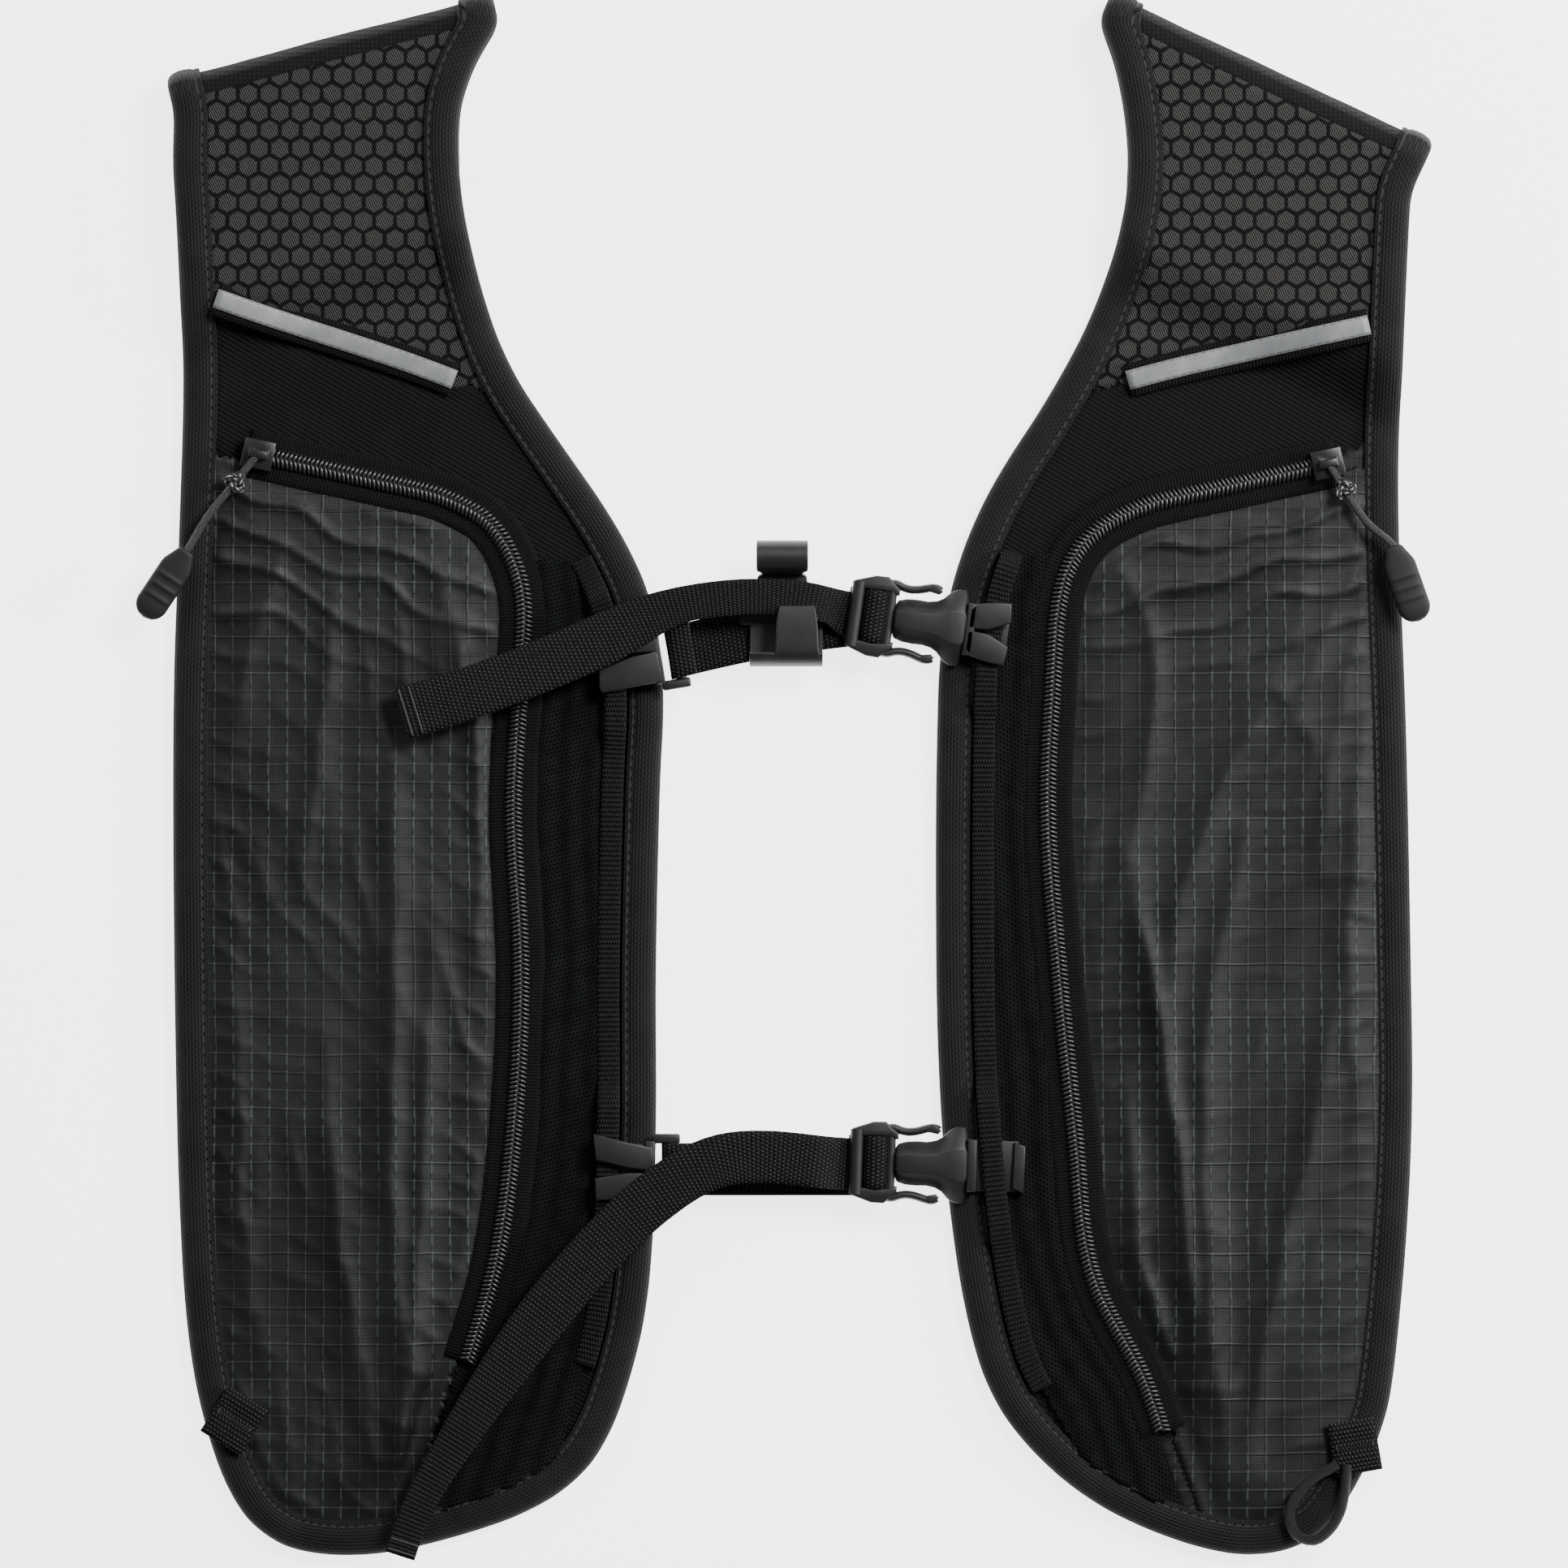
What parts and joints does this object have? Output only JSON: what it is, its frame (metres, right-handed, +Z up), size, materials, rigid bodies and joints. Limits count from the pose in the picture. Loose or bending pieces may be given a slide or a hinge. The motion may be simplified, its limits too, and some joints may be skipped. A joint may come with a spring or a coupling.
{
  "type": "front harness vest",
  "caption": "Front harness vest lying flat: padded panels with zipped pockets and webbing rails, joined by buckled sternum straps; shoulders fold to rear flaps.",
  "frame": {"origin": "centre of the resting footprint, on the surface the vest lies on, measured without the free cords", "axes": "+Y towards the shoulders, +X to the right as seen from the front with the vest on its back, +Z up through its thickness"},
  "size_m": [0.3704, 0.4467, 0.0157],
  "materials": {
    "lining": "perforated knit",
    "foam": "spacer foam",
    "binding": "ribbed stretch tape",
    "shoulder_mesh": "honeycomb mesh",
    "knit": "fine knit",
    "ripstop": "ripstop nylon, slight sheen",
    "stretch_mesh": "stretch mesh",
    "webbing": "woven webbing",
    "reflective": "retroreflective tape",
    "zip": "coil zip",
    "hard_plastic": "satin moulded nylon",
    "cord": "braided cord with light flecks",
    "rubber": "soft moulded rubber"
  },
  "bodies": {
    "panels": {"left_back_lining": "lining", "left_foam_core": "foam", "left_edge_binding": "binding", "left_shoulder_mesh": "shoulder_mesh", "left_chest_mesh": "knit", "left_pocket_back": "ripstop", "left_rear_yoke": "knit", "left_seam_ribbon": "webbing", "left_reflective_strip": "reflective", "left_zip_tape": "zip", "left_zip_coil": "zip", "left_rail": "webbing", "left_pocket_front": "ripstop", "left_mesh_pocket": "stretch_mesh", "left_zip_garage": "ripstop", "left_side_tab": "webbing", "right_back_lining": "lining", "right_foam_core": "foam", "right_edge_binding": "binding", "right_shoulder_mesh": "shoulder_mesh", "right_chest_mesh": "knit", "right_pocket_back": "ripstop", "right_rear_yoke": "knit", "right_seam_ribbon": "webbing", "right_reflective_strip": "reflective", "right_zip_tape": "zip", "right_zip_coil": "zip", "right_rail": "webbing", "right_pocket_front": "ripstop", "right_mesh_pocket": "stretch_mesh", "right_zip_garage": "ripstop", "right_side_tab": "webbing", "right_elastic_loop": "cord"},
    "left_slider": {"left_zip_slider": "hard_plastic"},
    "left_pull": {"left_pull_knot": "cord", "left_pull_cord": "cord", "left_pull_grip": "rubber"},
    "right_slider": {"right_zip_slider": "hard_plastic"},
    "right_pull": {"right_pull_knot": "cord", "right_pull_cord": "cord", "right_pull_grip": "rubber"},
    "upper_strap": {"upper_rail_hook": "hard_plastic", "upper_webbing": "webbing", "upper_buckle_female": "hard_plastic"},
    "upper_male": {"upper_buckle_male": "hard_plastic", "upper_tail": "webbing"},
    "upper_latch_up": {"upper_latch_up": "hard_plastic"},
    "upper_latch_down": {"upper_latch_down": "hard_plastic"},
    "lower_strap": {"lower_rail_hook": "hard_plastic", "lower_webbing": "webbing", "lower_buckle_female": "hard_plastic"},
    "lower_male": {"lower_buckle_male": "hard_plastic", "lower_tail": "webbing"},
    "lower_latch_up": {"lower_latch_up": "hard_plastic"},
    "lower_latch_down": {"lower_latch_down": "hard_plastic"},
    "hose_clip": {"hose_clip": "hard_plastic"}
  },
  "joints": [
    {"name": "left_zip_slide", "type": "slide", "parent": "panels", "child": "left_slider", "axis": [0.9767, -0.2147, 0], "range_m": [0, 0.03]},
    {"name": "left_pull_swing", "type": "hinge", "parent": "left_slider", "child": "left_pull", "pos_m": [-0.1533, 0.0945, 0.0094], "axis": [0, 0, -1], "range_deg": [-20, 25]},
    {"name": "right_zip_slide", "type": "slide", "parent": "panels", "child": "right_slider", "axis": [-0.9767, -0.2147, 0], "range_m": [0, 0.03]},
    {"name": "right_pull_swing", "type": "hinge", "parent": "right_slider", "child": "right_pull", "pos_m": [0.1533, 0.0918, 0.0094], "axis": [0, 0, 1], "range_deg": [-20, 25]},
    {"name": "upper_strap_height", "type": "slide", "parent": "panels", "child": "upper_strap", "axis": [0, 1, 0], "range_m": [-0.008, 0.008]},
    {"name": "upper_buckle_release", "type": "slide", "parent": "upper_strap", "child": "upper_male", "axis": [-0.9903, 0.1392, 0], "range_m": [0, 0.012]},
    {"name": "upper_latch_up_press", "type": "hinge", "parent": "upper_male", "child": "upper_latch_up", "pos_m": [0.02869, 0.05732, 0.0085], "axis": [0, 0, -1], "range_deg": [0, 5], "stiffness_Nm_per_rad": 0.05},
    {"name": "upper_latch_down_press", "type": "hinge", "parent": "upper_male", "child": "upper_latch_down", "pos_m": [0.02594, 0.03772, 0.0085], "axis": [0, 0, 1], "range_deg": [0, 5], "stiffness_Nm_per_rad": 0.05},
    {"name": "lower_strap_height", "type": "slide", "parent": "panels", "child": "lower_strap", "axis": [0, 1, 0], "range_m": [-0.008, 0.008]},
    {"name": "lower_buckle_release", "type": "slide", "parent": "lower_strap", "child": "lower_male", "axis": [-0.9994, 0.0349, 0], "range_m": [0, 0.012]},
    {"name": "lower_latch_up_press", "type": "hinge", "parent": "lower_male", "child": "lower_latch_up", "pos_m": [0.02802, -0.09857, 0.0085], "axis": [0, 0, -1], "range_deg": [0, 5], "stiffness_Nm_per_rad": 0.05},
    {"name": "lower_latch_down_press", "type": "hinge", "parent": "lower_male", "child": "lower_latch_down", "pos_m": [0.02733, -0.11836, 0.0085], "axis": [0, 0, 1], "range_deg": [0, 5], "stiffness_Nm_per_rad": 0.05},
    {"name": "hose_clip_slide", "type": "slide", "parent": "upper_male", "child": "hose_clip", "axis": [1, 0, 0], "range_m": [-0.008, 0.003]}
  ]
}
